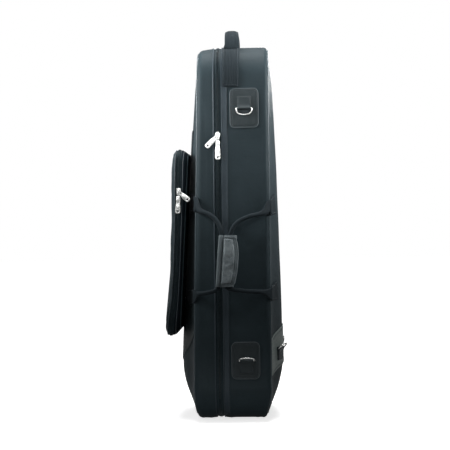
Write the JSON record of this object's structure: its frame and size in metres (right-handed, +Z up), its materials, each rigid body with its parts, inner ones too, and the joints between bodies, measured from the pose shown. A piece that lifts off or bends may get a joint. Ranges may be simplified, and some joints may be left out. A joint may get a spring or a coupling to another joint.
{
  "type": "trombone case",
  "caption": "Soft-sided zippered case for a slide trombone, with a top strap, paired carry webs and a music pouch.",
  "frame": {"origin": "middle of the box around the whole case, on the floor it stands on", "axes": "+Z up from the bell end to the top strap, -Y out of the side with the carry handles, -X out of the face with the music pouch, +X out of the back"},
  "size_m": [0.2972, 0.368, 0.9916],
  "materials": {
    "nylon": "coarse woven nylon, dark grey",
    "trim": "smooth folded binding, grey",
    "webbing": "ribbed webbing, black",
    "leather": "grained leather, dark grey, satin",
    "metal": "bright nickel plate",
    "core": "moulded foam shell, standing in as fabric",
    "plush": "deep plush over foam",
    "zipper": "woven zipper tape with coil"
  },
  "bodies": {
    "base": {"base_core": "core", "base_liner": "plush", "back_panel": "nylon", "base_gusset": "nylon", "base_piping": "trim", "base_zipper_tape": "zipper", "base_hinge_tape": "webbing", "base_trim_band": "trim", "top_handle": "webbing", "upper_ring_patch": "leather", "upper_ring_loop": "leather", "lower_ring_patch": "leather", "lower_ring_loop": "leather", "back_band": "leather", "back_ring_tab_near": "leather", "back_ring_tab_far": "leather", "base_web_anchor_upper": "webbing", "base_web_anchor_lower": "webbing", "base_foot_near": "metal", "base_foot_far": "metal", "bell_throat_rest": "plush", "bell_neck_rest": "plush", "accessory_box": "plush"},
    "lid": {"lid_core": "core", "lid_liner": "plush", "front_panel": "nylon", "lid_gusset": "nylon", "lid_piping": "trim", "lid_zipper_tape": "zipper", "lid_hinge_tape": "webbing", "lid_web_anchor_upper": "webbing", "lid_web_anchor_lower": "webbing", "lid_foot_near": "metal", "lid_foot_far": "metal", "pocket_tab_near": "webbing", "pocket_tab_far": "webbing", "slide_rest_lower": "plush", "slide_rest_upper": "plush"},
    "lid_handle": {"lid_handle_web": "webbing", "lid_grip": "leather"},
    "base_handle": {"base_handle_web": "webbing", "base_grip": "leather"},
    "pocket": {"pocket_rear": "nylon", "pocket_rear_piping": "trim", "pocket_zipper_tape": "zipper"},
    "pocket_flap": {"pocket_front": "nylon", "pocket_front_piping": "trim"},
    "main_upper_slider": {"main_upper_slider": "metal"},
    "main_upper_pull": {"main_upper_pull": "metal"},
    "main_lower_slider": {"main_lower_slider": "metal"},
    "main_lower_pull": {"main_lower_pull": "metal"},
    "pocket_upper_slider": {"pocket_upper_slider": "metal"},
    "pocket_upper_pull": {"pocket_upper_pull": "metal"},
    "pocket_lower_slider": {"pocket_lower_slider": "metal"},
    "pocket_lower_pull": {"pocket_lower_pull": "metal"},
    "upper_d_ring": {"upper_d_ring": "metal"},
    "lower_d_ring": {"lower_d_ring": "metal"},
    "back_d_ring_near": {"back_d_ring_near": "metal"},
    "back_d_ring_far": {"back_d_ring_far": "metal"},
    "accessory_lid": {"accessory_lid": "plush"}
  },
  "joints": [
    {"name": "lid_hinge", "type": "hinge", "parent": "base", "child": "lid", "pos_m": [-0.01879, 0.19489, 0], "axis": [0, 0.0959, -0.9954], "range_deg": [0, 170]},
    {"name": "lid_handle_swing", "type": "hinge", "parent": "lid", "child": "lid_handle", "pos_m": [-0.08057, -0.14144, 0.31226], "axis": [-0.0169, -0.0959, -0.9952], "range_deg": [0, 100]},
    {"name": "base_handle_swing", "type": "hinge", "parent": "base", "child": "base_handle", "pos_m": [0.10989, -0.14106, 0.31626], "axis": [0, 0.0959, 0.9954], "range_deg": [0, 110]},
    {"name": "main_upper_slider_run", "type": "slide", "parent": "base", "child": "main_upper_slider", "axis": [0, 0.0959, 0.9954], "range_m": [0, 0.13]},
    {"name": "main_upper_pull_swing", "type": "hinge", "parent": "main_upper_slider", "child": "main_upper_pull", "pos_m": [-0.01879, -0.10563, 0.71177], "axis": [-0.7071, 0.0678, 0.7038], "range_deg": [0, 150]},
    {"name": "main_lower_slider_run", "type": "slide", "parent": "base", "child": "main_lower_slider", "axis": [0, -0.0959, -0.9954], "range_m": [0, 0.59]},
    {"name": "main_lower_pull_swing", "type": "hinge", "parent": "main_lower_slider", "child": "main_lower_pull", "pos_m": [-0.01879, -0.10751, 0.69226], "axis": [-1, 0, 0], "range_deg": [0, 150]},
    {"name": "pocket_upper_slider_run", "type": "slide", "parent": "pocket", "child": "pocket_upper_slider", "axis": [0.0517, 0.0746, 0.9959], "range_m": [0, 0.055]},
    {"name": "pocket_upper_pull_swing", "type": "hinge", "parent": "pocket_upper_slider", "child": "pocket_upper_pull", "pos_m": [-0.11895, -0.10148, 0.57228], "axis": [-0.6556, -0.0588, -0.7528], "range_deg": [0, 150]},
    {"name": "pocket_lower_slider_run", "type": "slide", "parent": "pocket", "child": "pocket_lower_slider", "axis": [-0.0517, -0.0746, -0.9959], "range_m": [0, 0.27]},
    {"name": "pocket_lower_pull_swing", "type": "hinge", "parent": "pocket_lower_slider", "child": "pocket_lower_pull", "pos_m": [-0.11996, -0.10294, 0.55276], "axis": [-0.9987, 0, 0.0519], "range_deg": [0, 150]},
    {"name": "upper_d_ring_swing", "type": "hinge", "parent": "base", "child": "upper_d_ring", "pos_m": [0.0482, -0.09995, 0.7801], "axis": [-1, 0, 0], "range_deg": [0, 150]},
    {"name": "lower_d_ring_swing", "type": "hinge", "parent": "base", "child": "lower_d_ring", "pos_m": [0.0482, -0.16041, 0.1526], "axis": [1, 0, 0], "range_deg": [-60, 80]},
    {"name": "back_d_ring_near_swing", "type": "hinge", "parent": "base", "child": "back_d_ring_near", "pos_m": [0.13326, -0.07905, 0.176], "axis": [0.3365, 0.9417, 0], "range_deg": [-40, 100]},
    {"name": "back_d_ring_far_swing", "type": "hinge", "parent": "base", "child": "back_d_ring_far", "pos_m": [0.13326, 0.10169, 0.176], "axis": [-0.3365, 0.9417, 0], "range_deg": [-7, 130]},
    {"name": "pocket_swing", "type": "hinge", "parent": "lid", "child": "pocket", "pos_m": [-0.09383, 0.01132, 0.68], "axis": [0, 1, 0], "range_deg": [0, 60]},
    {"name": "pocket_flap_open", "type": "hinge", "parent": "pocket", "child": "pocket_flap", "pos_m": [-0.13758, 0.01132, 0.21364], "axis": [0, -1, 0], "range_deg": [0, 80]},
    {"name": "accessory_lid_swing", "type": "hinge", "parent": "base", "child": "accessory_lid", "pos_m": [0.00941, 0.07932, 0.066], "axis": [0, 0, 1], "range_deg": [0, 100]}
  ]
}
